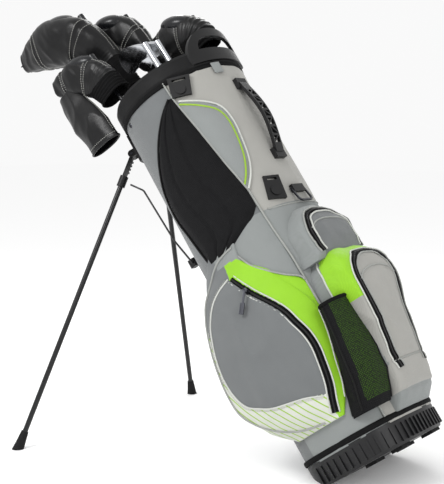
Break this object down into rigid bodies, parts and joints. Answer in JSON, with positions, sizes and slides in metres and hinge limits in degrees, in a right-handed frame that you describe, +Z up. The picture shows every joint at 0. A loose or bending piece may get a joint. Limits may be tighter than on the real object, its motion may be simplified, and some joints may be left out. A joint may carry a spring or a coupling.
{
  "type": "golf club set",
  "caption": "Stand bag leaning on two fold-out legs, holding covered woods and cavity-back irons that draw out of its padded mouth",
  "frame": {"origin": "centre of the sloped heel face of the base, on the ground", "axes": "+Z up; -X towards the stand legs, +X towards the ball pocket; -Y is the side with the bottle pocket. The bag leans back 35 degrees towards -X"},
  "size_m": [1.0122, 0.6164, 0.9183],
  "materials": {
    "light_fabric": "woven polyester, light warm grey",
    "grey_fabric": "woven polyester, mid grey",
    "black_mesh": "black air mesh",
    "black_plastic": "moulded, satin",
    "dark_plastic": "moulded, ribbed",
    "rubber": "moulded rubber",
    "leather": "synthetic leather, stitched",
    "chrome": "polished chrome",
    "steel": "stepped steel shaft",
    "graphite": "gloss painted graphite shaft",
    "leg_paint": "black painted aluminium tube",
    "spring_steel": "black coated spring steel",
    "zip_metal": "gunmetal",
    "padding": "black padded fabric"
  },
  "bodies": {
    "bag": {"bag_tube": "light_fabric", "base_cup": "dark_plastic", "base_pads": "rubber", "top_cuff": "black_plastic", "grab_handle": "rubber", "club_divider": "padding", "leg_bracket": "black_plastic", "hinge_pins": "steel", "cuff_rivets": "black_plastic", "yoke_track": "black_plastic", "apparel_pocket_right": "grey_fabric", "apparel_pocket_left": "grey_fabric", "bottle_pocket": "black_mesh", "ball_pocket": "light_fabric", "accessory_pocket": "light_fabric", "valuables_pocket": "grey_fabric", "hip_pad": "black_mesh", "carry_handle": "black_plastic", "strap_anchor_upper": "black_plastic", "strap_anchor_lower": "black_plastic", "ring_mount": "black_plastic"},
    "leg_right": {"leg_right_strut": "black_plastic", "leg_right_tube": "leg_paint", "leg_right_foot": "rubber"},
    "leg_left": {"leg_left_strut": "black_plastic", "leg_left_tube": "leg_paint", "leg_left_foot": "rubber"},
    "yoke": {"spreader_yoke": "black_plastic"},
    "rod_right": {"spreader_rod_right": "spring_steel"},
    "rod_left": {"spreader_rod_left": "spring_steel"},
    "strap_ring": {"strap_ring": "black_plastic"},
    "zip": {"zip_slider": "zip_metal"},
    "zip_pull": {"zip_pull": "zip_metal"},
    "driver": {"driver_head": "graphite", "driver_shaft": "graphite", "driver_grip": "rubber", "driver_cover": "leather"},
    "fairway_wood": {"fairway_wood_head": "graphite", "fairway_wood_shaft": "graphite", "fairway_wood_grip": "rubber", "fairway_wood_cover": "leather"},
    "hybrid": {"hybrid_head": "graphite", "hybrid_shaft": "graphite", "hybrid_grip": "rubber", "hybrid_cover": "leather", "hybrid_cover_sleeve": "leather"},
    "utility_wood": {"utility_wood_head": "graphite", "utility_wood_shaft": "graphite", "utility_wood_grip": "rubber", "utility_wood_cover": "leather"},
    "five_iron": {"five_iron_head": "chrome", "five_iron_shaft": "steel", "five_iron_grip": "rubber"},
    "seven_iron": {"seven_iron_head": "chrome", "seven_iron_shaft": "steel", "seven_iron_grip": "rubber"}
  },
  "joints": [
    {"name": "leg_right_fold", "type": "hinge", "parent": "bag", "child": "leg_right", "pos_m": [-0.49636, -0.05, 0.60427], "axis": [0.4018, -0.8714, 0.2813], "range_deg": [0, 45.08]},
    {"name": "spreader_rod_right_pivot", "type": "hinge", "parent": "yoke", "child": "rod_right", "pos_m": [-0.32708, -0.059, 0.38343], "axis": [-0.3643, 0.8733, -0.3234], "range_deg": [0, 10.04]},
    {"name": "leg_left_fold", "type": "hinge", "parent": "bag", "child": "leg_left", "pos_m": [-0.49636, 0.05, 0.60427], "axis": [-0.4018, -0.8714, -0.2813], "range_deg": [0, 45.08]},
    {"name": "spreader_rod_left_pivot", "type": "hinge", "parent": "yoke", "child": "rod_left", "pos_m": [-0.32708, 0.059, 0.38343], "axis": [0.3643, 0.8733, 0.3234], "range_deg": [0, 10.04]},
    {"name": "yoke_slide", "type": "slide", "parent": "bag", "child": "yoke", "axis": [0.5736, 0, -0.8192], "range_m": [0, 0.02447]},
    {"name": "driver_draw", "type": "slide", "parent": "bag", "child": "driver", "axis": [-0.6864, 0, 0.7272], "range_m": [0, 0.85]},
    {"name": "fairway_wood_draw", "type": "slide", "parent": "bag", "child": "fairway_wood", "axis": [-0.6435, 0.0081, 0.7654], "range_m": [0, 0.85]},
    {"name": "hybrid_draw", "type": "slide", "parent": "bag", "child": "hybrid", "axis": [-0.671, -0.0312, 0.7408], "range_m": [0, 0.85]},
    {"name": "utility_wood_draw", "type": "slide", "parent": "bag", "child": "utility_wood", "axis": [-0.5735, 0.0116, 0.8191], "range_m": [0, 0.85]},
    {"name": "five_iron_draw", "type": "slide", "parent": "bag", "child": "five_iron", "axis": [-0.622, 0.0035, 0.783], "range_m": [0, 0.85]},
    {"name": "seven_iron_draw", "type": "slide", "parent": "bag", "child": "seven_iron", "axis": [-0.6238, 0.0046, 0.7815], "range_m": [0, 0.85]},
    {"name": "zip_slide", "type": "slide", "parent": "bag", "child": "zip", "axis": [0.8516, -0.0306, -0.5233], "range_m": [0, 0.09]},
    {"name": "zip_pull_swing", "type": "hinge", "parent": "zip", "child": "zip_pull", "pos_m": [-0.12432, -0.16483, 0.35669], "axis": [-0.9868, -0.1621, 0], "range_deg": [0, 140]},
    {"name": "strap_ring_swing", "type": "hinge", "parent": "bag", "child": "strap_ring", "pos_m": [-0.11324, 0, 0.54293], "axis": [0, -1, 0], "range_deg": [0, 120]}
  ],
  "couplings": [
    {"joint": "leg_left_fold", "follows": "leg_right_fold", "ratio": 1},
    {"joint": "yoke_slide", "follows": "leg_right_fold", "m_per_rad": 0.030461},
    {"joint": "spreader_rod_right_pivot", "follows": "leg_right_fold", "ratio": 0.21826},
    {"joint": "spreader_rod_left_pivot", "follows": "leg_right_fold", "ratio": 0.21826}
  ]
}
